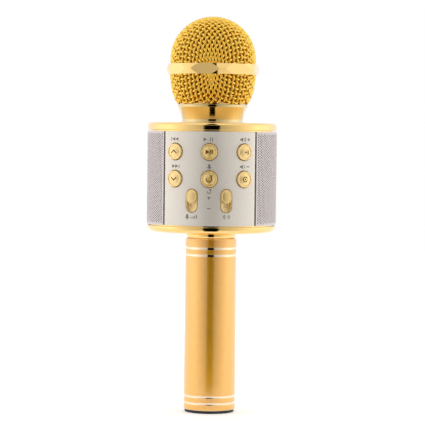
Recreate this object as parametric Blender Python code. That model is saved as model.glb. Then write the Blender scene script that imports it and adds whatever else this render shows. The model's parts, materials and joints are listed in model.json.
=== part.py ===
"""Karaoke microphone: wire ball, flared neck, round speaker drum with a control panel, and handle.

The microphone stands upright on its foot. The origin is the centre of the foot's flat underside,
+Z runs up the axis, and the control panel faces -Y. An azimuth is counted in degrees from -Y
towards +X. Lengths here are in millimetres, and every mesh is scaled to metres as it is made.
"""
import math

import bmesh
import bpy
from mathutils import Matrix, Vector

MM = 0.001

# Driving dimensions, millimetres
GAP = 0.3                     # air between pieces that meet
TUBE_BOTTOM_R = 15.95         # handle, slightly tapered
TUBE_TOP_R = 15.75
TUBE_BORE_R = 14.0
TUBE_TOP_Z = 107.7
FOOT_HEIGHT = 1.2
DRUM_R = 40.0
DRUM_BOTTOM_Z = 111.9
SLEEVE_BOTTOM_Z = 116.4
SLEEVE_TOP_Z = 174.1
DRUM_TOP_Z = 179.2
SLEEVE_WALL = 0.9
PANEL_WALL = 1.8
PANEL_HALF_ANGLE = 44.2       # degrees, half the width of the control panel
PANEL_EDGE_GAP = 0.75         # degrees either side of the seam between panel and sleeve
LIP_OUTER_R = 37.8            # lips of the caps that centre the sleeve
LIP_INNER_R = 36.4
LIP_OVERLAP = 2.0             # height of each lip inside the sleeve
CAP_PLATE = 2.4               # thickness of the caps' flat plates
HANDLE_THREAD_R = 12.2        # handle's spigot through the bottom cap
NECK_SPIGOT_R = 10.0          # neck's spigot through the top cap
NECK_TOP_Z = 190.3
BALL_CENTRE_Z = 218.3
BALL_R = 26.7
MESH_WALL = 1.0
RING_BOTTOM_Z = 208.9
RING_TOP_Z = 215.4
RING_FLAT = 27.4              # distance of the ring's hexagonal flats from the axis
RING_FIRST_FLAT = -8.2        # azimuth of one flat's middle

# Controls, millimetres and degrees
SIDE_BUTTON_ANGLE = 31.5
BUTTON_ROWS_Z = (161.5, 145.1)
BUTTON_R = 4.85
BUTTON_TRAVEL = 0.8
SLIDER_ANGLE = 15.2
SLIDER_Z = 132.0              # middle of the slot
SLIDER_TRAVEL = 5.2
BOARD_INNER_R = 30.5
BOARD_OUTER_R = 32.1
SWITCH_TOP_R = 35.4           # outward face of the push switches and slide potentiometers
POWER_TRAVEL = 3.0

# Side counts of the round pieces
DRUM_SIDES = 40
NECK_SIDES = 32
HEAD_SIDES = 24
SMALL_SIDES = 16

# Finishes: colour, roughness, metallic
FINISHES = {
    "gold_chrome": ((0.86, 0.66, 0.30), 0.10, 1.0),
    "satin_gold": ((0.80, 0.66, 0.44), 0.32, 1.0),
    "gold_mesh": ((0.85, 0.62, 0.20), 0.25, 1.0),
    "satin_silver": ((0.76, 0.73, 0.69), 0.38, 0.8),
    "perforated_steel": ((0.72, 0.69, 0.70), 0.40, 0.9),
    "black_plastic": ((0.02, 0.02, 0.02), 0.45, 0.0),
    "grey_plastic": ((0.25, 0.25, 0.26), 0.50, 0.0),
    "foam": ((0.03, 0.03, 0.03), 0.95, 0.0),
    "steel": ((0.62, 0.62, 0.64), 0.25, 1.0),
    "brass": ((0.80, 0.62, 0.30), 0.25, 1.0),
    "circuit_board": ((0.02, 0.20, 0.09), 0.40, 0.0),
    "paper_cone": ((0.05, 0.05, 0.05), 0.80, 0.0),
    "battery_wrap": ((0.05, 0.20, 0.45), 0.35, 0.0),
    "red_wire": ((0.55, 0.02, 0.02), 0.50, 0.0),
    "black_wire": ((0.02, 0.02, 0.02), 0.50, 0.0),
}

SHARP_ANGLE = math.radians(35)


# ---------------------------------------------------------------- shared tools

def clear_scene():
    for old in list(bpy.data.objects):
        bpy.data.objects.remove(old, do_unlink=True)


def finish_material(name, finish):
    colour, roughness, metallic = FINISHES[finish]
    material = bpy.data.materials.new(name + "_material")
    material.use_nodes = True
    shader = material.node_tree.nodes["Principled BSDF"]
    shader.inputs["Base Color"].default_value = (*colour, 1.0)
    shader.inputs["Roughness"].default_value = roughness
    shader.inputs["Metallic"].default_value = metallic
    material.diffuse_color = (*colour, 1.0)
    return material


def make_object(name, bm, finish, place=None):
    """Turn a bmesh into a shaded object, at an optional 4x4 placement."""
    bmesh.ops.recalc_face_normals(bm, faces=bm.faces)
    mesh = bpy.data.meshes.new(name)
    bm.to_mesh(mesh)
    bm.free()
    mesh.shade_smooth()
    mesh.set_sharp_from_angle(angle=SHARP_ANGLE)
    mesh.materials.append(finish_material(name, finish))
    obj = bpy.data.objects.new(name, mesh)
    bpy.context.collection.objects.link(obj)
    if place is not None:
        obj.matrix_world = place
    return obj


def make_cutter(name, bm, place=None):
    cutter = make_object(name, bm, "steel", place)
    cutter.hide_render = True
    cutter.display_type = "WIRE"
    return cutter


def boolean(target, other, operation="DIFFERENCE"):
    modifier = target.modifiers.new(other.name, "BOOLEAN")
    modifier.operation = operation
    modifier.solver = "EXACT"
    modifier.object = other


def outward(azimuth):
    """Unit vector that points away from the axis at an azimuth in degrees."""
    angle = math.radians(azimuth)
    return Vector((math.sin(angle), -math.cos(angle), 0.0))


def on_drum(azimuth, height):
    """Placement on the drum's surface: local X sideways, local Y up, local Z outward."""
    angle = math.radians(azimuth)
    normal = outward(azimuth)
    place = Matrix.Identity(4)
    place.col[0].xyz = (math.cos(angle), math.sin(angle), 0.0)
    place.col[1].xyz = (0.0, 0.0, 1.0)
    place.col[2].xyz = normal
    place.translation = normal * DRUM_R * MM + Vector((0.0, 0.0, height * MM))
    return place


def at_point(x, y, z):
    return Matrix.Translation((x * MM, y * MM, z * MM))


def lathe(outline, sides, start=0.0, sweep=360.0):
    """Turn a closed outline of (radius, height) points about Z, over a full or partial turn."""
    bm = bmesh.new()
    full = sweep >= 360.0
    columns = sides if full else sides + 1
    rings = []
    for radius, height in outline:
        if radius == 0.0:
            rings.append([bm.verts.new((0.0, 0.0, height * MM))] * columns)
            continue
        ring = []
        for column in range(columns):
            point = outward(start + sweep * column / sides) * radius
            point.z = height
            ring.append(bm.verts.new(point * MM))
        rings.append(ring)
    for index, lower in enumerate(rings):
        upper = rings[(index + 1) % len(rings)]
        for column in range(sides):
            following = (column + 1) % columns
            corners = (lower[column], lower[following], upper[following], upper[column])
            corners = list(dict.fromkeys(corners))
            if len(corners) > 2:
                bm.faces.new(corners)
    if not full:
        bm.faces.new([ring[0] for ring in rings])
        bm.faces.new([ring[-1] for ring in rings])
    return bm


def arc(centre_r, centre_z, radius, start, end, steps):
    """Points of an arc in the (radius, height) plane, angles in degrees from outward to up."""
    points = []
    for step in range(steps + 1):
        angle = math.radians(start + (end - start) * step / steps)
        points.append((centre_r + radius * math.cos(angle), centre_z + radius * math.sin(angle)))
    return points


def circle(radius, count=SMALL_SIDES):
    angles = [math.tau * step / count for step in range(count)]
    return [(radius * math.cos(angle), radius * math.sin(angle)) for angle in angles]


def rectangle(half_width, half_height, count=SMALL_SIDES):
    """Rectangle with its points spread in step with circle(), so that the two can be bridged."""
    points = []
    for x, y in circle(1.0, count):
        reach = max(abs(x), abs(y))
        points.append((half_width * x / reach, half_height * y / reach))
    return points


def hexagon(corner_radius, count=24):
    points = []
    for step in range(count):
        angle = math.tau * step / count
        off_flat = angle % (math.pi / 3) - math.pi / 6
        reach = corner_radius * math.cos(math.pi / 6) / math.cos(off_flat)
        points.append((reach * math.cos(angle), reach * math.sin(angle)))
    return points


def stadium(half_width, half_height, count=SMALL_SIDES):
    """Slot outline with round ends, its long side along Y."""
    points = []
    straight = half_height - half_width
    half = count // 2
    for side in (1, -1):
        for step in range(half):
            angle = math.pi * step / (half - 1)
            x = side * half_width * math.cos(angle)
            y = side * (half_width * math.sin(angle) + straight)
            points.append((x, y))
    return points


def loft(sections, closed=False, centre=(0.0, 0.0)):
    """Skin a stack of (outline, height) sections; closed joins the last section to the first."""
    bm = bmesh.new()
    loops = []
    for outline, height in sections:
        loop = []
        for x, y in outline:
            loop.append(bm.verts.new(((x + centre[0]) * MM, (y + centre[1]) * MM, height * MM)))
        loops.append(loop)
    pairs = list(zip(loops, loops[1:]))
    if closed:
        pairs.append((loops[-1], loops[0]))
    else:
        bm.faces.new(loops[0])
        bm.faces.new(loops[-1])
    for lower, upper in pairs:
        for index in range(len(lower)):
            following = (index + 1) % len(lower)
            bm.faces.new((lower[index], lower[following], upper[following], upper[index]))
    return bm


def block(low, high):
    """Box between two corners."""
    bm = bmesh.new()
    size = [(top - bottom) * MM for bottom, top in zip(low, high)]
    middle = [(top + bottom) / 2 * MM for bottom, top in zip(low, high)]
    bmesh.ops.create_cube(bm, size=1.0)
    bmesh.ops.scale(bm, vec=size, verts=bm.verts)
    bmesh.ops.translate(bm, vec=middle, verts=bm.verts)
    return bm


def hex_nut(corner_radius, bore_radius, bottom, top):
    outer = hexagon(corner_radius)
    bore = circle(bore_radius, len(outer))
    return loft([(outer, bottom), (outer, top), (bore, top), (bore, bottom)], closed=True)


def smooth_route(points, steps=4):
    """Points on a smooth curve (Catmull-Rom) through the given points."""
    anchors = [Vector(point) for point in points]
    anchors = [2 * anchors[0] - anchors[1], *anchors, 2 * anchors[-1] - anchors[-2]]
    route = []
    for before, start, end, after in zip(anchors, anchors[1:], anchors[2:], anchors[3:]):
        for step in range(steps):
            t = step / steps
            bend = 2 * before - 5 * start + 4 * end - after
            twist = 3 * start - before - 3 * end + after
            route.append(start + ((end - before) * t + bend * t ** 2 + twist * t ** 3) / 2)
    route.append(anchors[-2])
    return route


def wire(name, route, radius, finish, bevel_resolution):
    curve = bpy.data.curves.new(name, "CURVE")
    curve.dimensions = "3D"
    curve.bevel_depth = radius * MM
    curve.bevel_resolution = bevel_resolution
    curve.use_fill_caps = True
    spline = curve.splines.new("POLY")
    spline.points.add(len(route) - 1)
    for point, position in zip(spline.points, route):
        point.co = (*(Vector(position) * MM), 1.0)
    curve.materials.append(finish_material(name, finish))
    obj = bpy.data.objects.new(name, curve)
    bpy.context.collection.objects.link(obj)
    return obj


# ---------------------------------------------------------------- handle

def build_handle():
    plug_r = TUBE_BORE_R - GAP - 0.1
    foot = [
        (0.0, 0.0), (14.9, 0.0), (15.3, 0.4), (15.3, FOOT_HEIGHT),
        (plug_r, FOOT_HEIGHT), (plug_r, 8.0), (11.6, 8.0), (11.6, 2.4), (0.0, 2.4),
    ]
    make_object("end_cap", lathe(foot, HEAD_SIDES), "black_plastic")

    tube_bottom = FOOT_HEIGHT + GAP
    tube = [
        (TUBE_BORE_R, tube_bottom), (TUBE_BOTTOM_R - 0.5, tube_bottom),
        (TUBE_BOTTOM_R, tube_bottom + 0.5), (TUBE_TOP_R, TUBE_TOP_Z), (TUBE_BORE_R, TUBE_TOP_Z),
    ]
    make_object("handle_tube", lathe(tube, HEAD_SIDES), "satin_gold")

    ring_bottom = TUBE_TOP_Z + GAP
    ring_top = DRUM_BOTTOM_Z - GAP
    spigot_top = 117.4
    collar = [
        (10.5, 100.0), (plug_r, 100.0), (plug_r, ring_bottom), (15.2, ring_bottom),
        (15.65, (ring_bottom + ring_top) / 2), (15.2, ring_top), (HANDLE_THREAD_R, ring_top),
        (HANDLE_THREAD_R, spigot_top), (10.5, spigot_top),
    ]
    make_object("handle_collar", lathe(collar, HEAD_SIDES), "gold_chrome")
    nut_bottom = DRUM_BOTTOM_Z + CAP_PLATE + GAP
    make_object("handle_nut", hex_nut(15.5, HANDLE_THREAD_R + GAP, nut_bottom, spigot_top - 0.2), "brass")


def build_battery():
    cradle = [
        (13.2, 10.0), (13.2, 84.5), (4.0, 84.5), (4.0, 82.5), (9.7, 82.5),
        (9.7, 12.0), (4.0, 12.0), (4.0, 10.0),
    ]
    make_object("battery_cradle", lathe(cradle, 14, start=60.0, sweep=240.0), "black_plastic")

    cell = [(0.0, 15.0), (9.15, 15.0), (9.15, 80.0), (3.0, 80.0), (3.0, 81.2), (0.0, 81.2)]
    make_object("battery_cell", lathe(cell, 20), "battery_wrap")

    contact = loft([(rectangle(3.0, 3.0, 8), 81.5), (rectangle(3.0, 3.0, 8), 82.2)])
    make_object("battery_contact", contact, "brass")

    turns = 2.5
    steps = 24
    coil = []
    for step in range(steps + 1):
        share = step / steps
        angle = math.tau * turns * share
        radius = 6.5 - 3.5 * share
        coil.append((radius * math.cos(angle), radius * math.sin(angle), 12.65 + 1.7 * share))
    wire("battery_spring", coil, 0.3, "steel", 0)

    for name, side, finish in (("positive", 1, "red_wire"), ("negative", -1, "black_wire")):
        stops = [
            (side * 2.0, 0.0, 84.9), (side * 2.0, 0.0, 96.0), (side * 2.6, 0.4, 108.0),
            (side * 3.4, 3.0, 116.0), (side * 4.0, 9.0, 119.2), (side * 4.0, 15.1, 119.4),
        ]
        wire("battery_lead_" + name, smooth_route(stops, 3), 0.7, finish, 1)


# ---------------------------------------------------------------- drum shell

SCREW_PLACES = [(side_x * 24.0, y) for y in (-14.0, 10.0) for side_x in (-1, 1)]
CHARGE_PORT_PLACE = (0.0, 26.0)
JACK_PLACE = (12.5, 24.0)
POWER_PLACE = (-12.5, 24.0)


def build_caps():
    roll = 2.8
    floor_top = DRUM_BOTTOM_Z + CAP_PLATE
    rim_top = SLEEVE_BOTTOM_Z - GAP
    lip_top = SLEEVE_BOTTOM_Z + LIP_OVERLAP
    hole_r = HANDLE_THREAD_R + GAP
    bottom = [(hole_r, DRUM_BOTTOM_Z)]
    bottom += arc(DRUM_R - roll, DRUM_BOTTOM_Z + roll, roll, -90, 0, 3)
    bottom += [
        (DRUM_R, rim_top), (LIP_OUTER_R, rim_top), (LIP_OUTER_R, lip_top), (LIP_INNER_R, lip_top),
        (LIP_INNER_R, floor_top), (hole_r, floor_top),
    ]
    cap = make_object("bottom_cap", lathe(bottom, DRUM_SIDES), "gold_chrome")
    below = DRUM_BOTTOM_Z - 2.0
    above = floor_top + 2.0
    openings = {
        "charge": (rectangle(4.9, 2.2, 8), CHARGE_PORT_PLACE),
        "jack": (circle(3.6), JACK_PLACE),
        "power": (rectangle(4.0, 1.8, 8), POWER_PLACE),
    }
    for name, (outline, centre) in openings.items():
        hole = loft([(outline, below), (outline, above)], centre=centre)
        boolean(cap, make_cutter("cut_" + name, hole))
    head_seat = DRUM_BOTTOM_Z + 1.4
    for number, centre in enumerate(SCREW_PLACES, start=1):
        step_hole = loft(
            [(circle(2.7, 12), below), (circle(2.7, 12), head_seat), (circle(1.6, 12), head_seat),
             (circle(1.6, 12), above)], centre=centre)
        boolean(cap, make_cutter(f"cut_screw_{number}", step_hole))
        screw = loft(
            [(circle(2.3, 8), DRUM_BOTTOM_Z + 0.2), (circle(2.3, 8), head_seat - 0.3),
             (circle(1.2, 8), head_seat - 0.3), (circle(1.2, 8), 121.0)], centre=centre)
        make_object(f"cap_screw_{number}", screw, "steel")

    roll = 1.8
    plate_bottom = DRUM_TOP_Z - CAP_PLATE
    rim_bottom = SLEEVE_TOP_Z + GAP
    lip_bottom = SLEEVE_TOP_Z - LIP_OVERLAP
    hole_r = NECK_SPIGOT_R + GAP
    top = [
        (hole_r, plate_bottom), (LIP_INNER_R, plate_bottom), (LIP_INNER_R, lip_bottom),
        (LIP_OUTER_R, lip_bottom), (LIP_OUTER_R, rim_bottom), (DRUM_R, rim_bottom),
    ]
    top += arc(DRUM_R - roll, DRUM_TOP_Z - roll, roll, 0, 90, 3)
    top += [(hole_r, DRUM_TOP_Z)]
    make_object("top_cap", lathe(top, DRUM_SIDES), "gold_chrome")


def build_skin():
    start = PANEL_HALF_ANGLE + PANEL_EDGE_GAP
    sleeve = [
        (DRUM_R - SLEEVE_WALL, SLEEVE_BOTTOM_Z), (DRUM_R, SLEEVE_BOTTOM_Z),
        (DRUM_R, SLEEVE_TOP_Z), (DRUM_R - SLEEVE_WALL, SLEEVE_TOP_Z),
    ]
    make_object("speaker_sleeve", lathe(sleeve, 30, start, 360.0 - 2 * start), "perforated_steel")

    half = PANEL_HALF_ANGLE - PANEL_EDGE_GAP
    panel = [
        (DRUM_R - PANEL_WALL, SLEEVE_BOTTOM_Z), (DRUM_R, SLEEVE_BOTTOM_Z),
        (DRUM_R, SLEEVE_TOP_Z), (DRUM_R - PANEL_WALL, SLEEVE_TOP_Z),
    ]
    panel = make_object("control_panel", lathe(panel, 10, -half, 2 * half), "satin_silver")
    for place, azimuth, height in button_places():
        hole = loft([(circle(BUTTON_R + GAP), -4.0), (circle(BUTTON_R + GAP), 2.0)])
        boolean(panel, make_cutter("cut_button_" + place, hole, on_drum(azimuth, height)))
    for side, azimuth in slider_places():
        slot = loft([(stadium(3.7, 7.2), -4.0), (stadium(3.7, 7.2), 2.0)])
        boolean(panel, make_cutter("cut_slider_" + side, slot, on_drum(azimuth, SLIDER_Z)))


# ---------------------------------------------------------------- controls

def button_places():
    columns = (("left", -SIDE_BUTTON_ANGLE), ("centre", 0.0), ("right", SIDE_BUTTON_ANGLE))
    rows = zip(("top", "bottom"), BUTTON_ROWS_Z)
    return [(f"{column}_{row}", azimuth, height) for row, height in rows for column, azimuth in columns]


def slider_places():
    return [("left", -SLIDER_ANGLE), ("right", SLIDER_ANGLE)]


def build_buttons():
    """Round caps in the panel's holes, each with a flange behind the panel and a stem inward."""
    switch_top = SWITCH_TOP_R - DRUM_R
    well_depth = 1.6
    button = [
        (0.0, switch_top - 0.4), (1.5, switch_top - 0.4), (1.5, -3.5), (5.8, -3.5), (5.8, -2.7),
        (BUTTON_R, -2.7), (BUTTON_R, 0.8), (BUTTON_R - 0.5, 1.2), (0.0, 1.2),
    ]
    switch = [
        (rectangle(3.0, 3.0), BOARD_OUTER_R + GAP - DRUM_R), (rectangle(3.0, 3.0), switch_top),
        (circle(1.8), switch_top), (circle(1.8), switch_top - well_depth),
    ]
    for place, azimuth, height in button_places():
        make_object("button_" + place, lathe(button, SMALL_SIDES), "gold_chrome", on_drum(azimuth, height))
        make_object("switch_" + place, loft(switch), "black_plastic", on_drum(azimuth, height))


def build_sliders():
    """Slide knobs in recessed trays; each knob's stem runs in a slide potentiometer.

    A thin shutter rides on the stem behind the tray, and covers the tray's slit all along the travel.
    """
    pot_top = SWITCH_TOP_R - DRUM_R
    stem = stadium(0.9, 1.1)
    slit_half = SLIDER_TRAVEL / 2 + 1.1 + GAP + 0.1
    slit = stadium(0.9 + GAP, slit_half)
    tray_floor, tray_back = -1.4, -2.2
    rim, pocket = stadium(3.4, 6.9), stadium(3.0, 6.5)
    tray = [
        (rim, tray_back), (rim, 0.05), (pocket, 0.05), (pocket, tray_floor),
        (slit, tray_floor), (slit, tray_back),
    ]
    shutter_top = tray_back - GAP
    shutter = stadium(2.0, SLIDER_TRAVEL / 2 + slit_half + 0.7)
    body, cap = stadium(2.7, 3.6), stadium(3.2, 4.1)
    knob = [
        (stem, pot_top - 0.8), (stem, shutter_top - 0.6), (shutter, shutter_top - 0.6),
        (shutter, shutter_top), (stem, shutter_top), (stem, tray_floor + GAP), (body, tray_floor + GAP),
        (body, 0.35), (cap, 0.35), (cap, 1.1), (stadium(2.8, 3.7), 1.5),
    ]
    case, track = stadium(3.0, 9.5), stadium(1.3, slit_half + 0.4)
    pot = [(case, BOARD_OUTER_R + GAP - DRUM_R), (case, pot_top), (track, pot_top), (track, pot_top - 1.6)]
    for side, azimuth in slider_places():
        middle = on_drum(azimuth, SLIDER_Z)
        raised = on_drum(azimuth, SLIDER_Z + SLIDER_TRAVEL / 2)
        make_object("slider_tray_" + side, loft(tray, closed=True), "gold_chrome", middle)
        make_object("slider_knob_" + side, loft(knob), "gold_chrome", raised)
        make_object("slide_pot_" + side, loft(pot), "steel", middle)


def build_control_board():
    bottom, top = 119.0, 170.0
    outline = [(BOARD_INNER_R, bottom), (BOARD_OUTER_R, bottom), (BOARD_OUTER_R, top), (BOARD_INNER_R, top)]
    half = PANEL_HALF_ANGLE - 2.2
    make_object("control_board", lathe(outline, 10, -half, 2 * half), "circuit_board")


# ---------------------------------------------------------------- speakers

BOX_LOW = (-30.5, -20.0, 122.0)
BOX_HIGH = (30.5, 24.0, 169.5)
SPEAKER_Z = 145.25


def build_speaker_box():
    """Sound box with a round mouth each side and four screw posts under its floor."""
    wall = 2.0
    box = make_object("speaker_box", block(BOX_LOW, BOX_HIGH), "black_plastic")
    for number, centre in enumerate(SCREW_PLACES, start=1):
        post = loft([(circle(3.0, 12), 114.6), (circle(3.0, 12), 123.0)], centre=centre)
        boolean(box, make_cutter(f"join_post_{number}", post), "UNION")
    inner_low = [value + wall for value in BOX_LOW]
    inner_high = [value - wall for value in BOX_HIGH]
    boolean(box, make_cutter("cut_box_inside", block(inner_low, inner_high)))
    mouth = loft([(circle(17.6, 24), -40.0), (circle(17.6, 24), 40.0)])
    sideways = at_point(0.0, 2.0, SPEAKER_Z) @ Matrix.Rotation(math.pi / 2, 4, "Y")
    boolean(box, make_cutter("cut_mouths", mouth, sideways))
    for number, centre in enumerate(SCREW_PLACES, start=1):
        bore = loft([(circle(1.5, 8), 113.0), (circle(1.5, 8), 121.5)], centre=centre)
        boolean(box, make_cutter(f"cut_post_{number}", bore))


def build_speakers():
    """Two drivers facing sideways; their outlines are turned about each driver's own axis."""
    basket = [
        (20.0, 30.8), (20.0, 32.3), (16.6, 32.3), (16.6, 30.0), (11.0, 21.0),
        (6.5, 21.0), (6.5, 20.0), (12.0, 20.0), (17.2, 29.4), (17.2, 30.8),
    ]
    cone = [
        (0.0, 26.0), (4.0, 25.2), (5.6, 23.4), (16.2, 31.2),
        (16.2, 32.0), (5.6, 24.4), (4.0, 26.0), (0.0, 26.8),
    ]
    magnet = [(0.0, 12.0), (12.5, 12.0), (12.5, 19.7), (0.0, 19.7)]
    for side, turn in (("left", -math.pi / 2), ("right", math.pi / 2)):
        place = at_point(0.0, 2.0, SPEAKER_Z) @ Matrix.Rotation(turn, 4, "Y")
        make_object("speaker_basket_" + side, lathe(basket, SMALL_SIDES), "steel", place)
        make_object("speaker_cone_" + side, lathe(cone, SMALL_SIDES), "paper_cone", place)
        make_object("speaker_magnet_" + side, lathe(magnet, SMALL_SIDES), "grey_plastic", place)


# ---------------------------------------------------------------- ports under the drum

def build_ports():
    board_bottom = 118.6
    part_top = board_bottom - GAP
    board = block((-18.5, 15.5, board_bottom), (18.5, 30.5, board_bottom + 1.6))
    make_object("port_board", board, "circuit_board")

    face = DRUM_BOTTOM_Z + GAP
    port = [
        (rectangle(4.5, 1.8, 8), part_top), (rectangle(4.5, 1.8, 8), face),
        (rectangle(3.9, 1.2, 8), face), (rectangle(3.9, 1.2, 8), 117.2),
    ]
    make_object("charge_port", loft(port, centre=CHARGE_PORT_PLACE), "steel")

    jack = [
        (rectangle(3.6, 3.6), part_top), (rectangle(3.6, 3.6), 114.6), (circle(3.2), 114.6),
        (circle(3.2), face), (circle(1.8), face), (circle(1.8), 117.3),
    ]
    make_object("audio_jack", loft(jack, centre=JACK_PLACE), "black_plastic")

    switch = [
        (rectangle(4.6, 2.4, 8), part_top), (rectangle(4.6, 2.4, 8), 115.2),
        (rectangle(2.9, 1.2, 8), 115.2), (rectangle(2.9, 1.2, 8), 116.8),
    ]
    make_object("power_switch", loft(switch, centre=POWER_PLACE), "steel")
    knob = [
        (rectangle(1.9, 1.2, 8), -1.6), (rectangle(2.1, 1.5, 8), -1.2), (rectangle(2.1, 1.5, 8), 1.8),
        (rectangle(1.1, 0.8, 8), 1.8), (rectangle(1.1, 0.8, 8), 3.8),
    ]
    place = at_point(POWER_PLACE[0] - POWER_TRAVEL / 2, POWER_PLACE[1], 112.5)
    make_object("power_knob", loft(knob), "black_plastic", place)


# ---------------------------------------------------------------- neck and microphone insert

def build_neck():
    """Flared neck: a spigot goes down through the top cap, and the ball screws on the boss above."""
    foot_z = DRUM_TOP_Z + GAP
    outline = [(8.0, 173.0), (NECK_SPIGOT_R, 173.0), (NECK_SPIGOT_R, foot_z), (19.1, foot_z), (19.4, 182.6)]
    outline += [(20.3, 185.3), (21.4, 187.8), (21.8, 188.9), (21.8, NECK_TOP_Z)]
    outline += [(17.5, NECK_TOP_Z), (17.5, 196.5), (14.5, 196.5), (14.5, 188.0), (8.0, 188.0)]
    make_object("neck", lathe(outline, NECK_SIDES), "gold_chrome")
    nut_top = DRUM_TOP_Z - CAP_PLATE - GAP
    make_object("neck_nut", hex_nut(14.0, NECK_SPIGOT_R + GAP, nut_top - 2.2, nut_top), "brass")


def build_insert():
    holder = [
        (3.0, 188.3), (14.2, 188.3), (14.2, 194.0), (11.0, 200.0), (12.5, 202.0), (12.5, 212.0),
        (10.6, 212.0), (10.6, 203.0), (3.0, 203.0),
    ]
    make_object("capsule_holder", lathe(holder, 20), "grey_plastic")
    capsule = [(0.0, 203.3), (10.2, 203.3), (10.2, 214.6), (8.8, 216.0), (0.0, 216.0)]
    make_object("mic_capsule", lathe(capsule, 20), "steel")
    stops = [
        (0.0, 0.0, 202.8), (0.0, 0.0, 190.0), (0.0, 0.0, 177.0), (0.0, -3.0, 171.6),
        (0.0, -12.0, 171.2), (0.0, -25.0, 171.9), (0.0, -31.3, 170.9),
    ]
    wire("capsule_lead", smooth_route(stops, 3), 0.6, "black_wire", 1)


# ---------------------------------------------------------------- ball

def offset_outline(outer, inner):
    return outer + inner[::-1]


def build_ball():
    inside = BALL_R - MESH_WALL
    base_z = RING_TOP_Z + GAP
    dome_outer = [(BALL_R, base_z)] + arc(0.0, BALL_CENTRE_Z, BALL_R, 0, 90, 6)[:-1]
    dome_outer += [(0.0, BALL_CENTRE_Z + BALL_R)]
    dome_inner = [(inside, base_z)] + arc(0.0, BALL_CENTRE_Z, inside, 0, 90, 6)[:-1]
    dome_inner += [(0.0, BALL_CENTRE_Z + inside)]
    make_object("grille_dome", lathe(offset_outline(dome_outer, dome_inner), HEAD_SIDES), "gold_mesh")

    bowl_outer = [(21.4, 191.8), (23.2, 193.4), (24.8, 197.2), (26.1, 203.0), (26.8, RING_BOTTOM_Z - GAP)]
    bowl_inner = [(20.5, 191.8), (22.2, 194.0), (23.8, 197.6), (25.1, 203.2), (25.8, RING_BOTTOM_Z - GAP)]
    make_object("grille_bowl", lathe(offset_outline(bowl_outer, bowl_inner), HEAD_SIDES), "gold_mesh")

    build_ring()

    collar = [(17.9, 190.6), (21.2, 190.6), (21.2, 191.5), (20.0, 191.5), (20.0, 197.2), (17.9, 197.2)]
    make_object("grille_collar", lathe(collar, HEAD_SIDES), "gold_chrome")

    foam_r = inside - 0.6
    pad = 3.0
    foam_outer = [(22.6, 197.6), (23.6, 200.5), (24.6, 205.0), (25.0, 209.5), (foam_r, 215.0)]
    foam_outer += arc(0.0, BALL_CENTRE_Z, foam_r, 0, 90, 4)[:-1] + [(0.0, BALL_CENTRE_Z + foam_r)]
    foam_inner = [(radius - pad, height) for radius, height in foam_outer[:5]]
    foam_inner += arc(0.0, BALL_CENTRE_Z, foam_r - pad, 0, 90, 4)[:-1]
    foam_inner += [(0.0, BALL_CENTRE_Z + foam_r - pad)]
    make_object("foam_windscreen", lathe(offset_outline(foam_outer, foam_inner), HEAD_SIDES), "foam")


def build_ring():
    """Ring with eight hexagonal flats; between them a sloped facet above and one below meet on a ridge."""
    half_flat = 8.0           # degrees, half of a flat's top and bottom edge
    half_tips = 18.0          # degrees, half of a flat's width from tip to tip
    edge_r = RING_FLAT / math.cos(math.radians(half_flat))
    tip_r = RING_FLAT / math.cos(math.radians(half_tips))
    middle_z = (RING_BOTTOM_Z + RING_TOP_Z) / 2
    bm = bmesh.new()

    def corner(azimuth, radius, height):
        point = outward(azimuth) * radius
        point.z = height
        return bm.verts.new(point * MM)

    flats = []
    for number in range(8):
        azimuth = RING_FIRST_FLAT + 45.0 * number
        flats.append({
            "low": [corner(azimuth + side * half_flat, edge_r, RING_BOTTOM_Z) for side in (-1, 1)],
            "tip": [corner(azimuth + side * half_tips, tip_r, middle_z) for side in (-1, 1)],
            "high": [corner(azimuth + side * half_flat, edge_r, RING_TOP_Z) for side in (-1, 1)],
        })
    for flat, following in zip(flats, flats[1:] + flats[:1]):
        low, tip, high = flat["low"], flat["tip"], flat["high"]
        bm.faces.new((low[0], low[1], tip[1], high[1], high[0], tip[0]))
        bm.faces.new((low[1], following["low"][0], following["tip"][0], tip[1]))
        bm.faces.new((tip[1], following["tip"][0], following["high"][0], high[1]))
    bm.faces.new([vert for flat in flats for vert in flat["low"]])
    bm.faces.new([vert for flat in flats for vert in flat["high"]])
    ring = make_object("grille_ring", bm, "gold_chrome")
    bore = loft([(circle(25.5, HEAD_SIDES), RING_BOTTOM_Z - 2), (circle(25.5, HEAD_SIDES), RING_TOP_Z + 2)])
    boolean(ring, make_cutter("cut_ring_bore", bore))


clear_scene()
build_handle()
build_battery()
build_caps()
build_skin()
build_buttons()
build_sliders()
build_control_board()
build_speaker_box()
build_speakers()
build_ports()
build_neck()
build_insert()
build_ball()
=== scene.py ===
"""Looks of the karaoke microphone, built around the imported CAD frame.

Lengths are in metres in the frame's own coordinates: +Z up the microphone's axis, panel facing -Y.
An azimuth is counted in degrees from -Y towards +X. Finer pieces replace the plain CAD solids and
take their places from the frame; the inner parts stay as they are and get finished materials.
"""

import json
import math

import bmesh
import bpy
import numpy as np
from mathutils import Matrix, Vector


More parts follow.
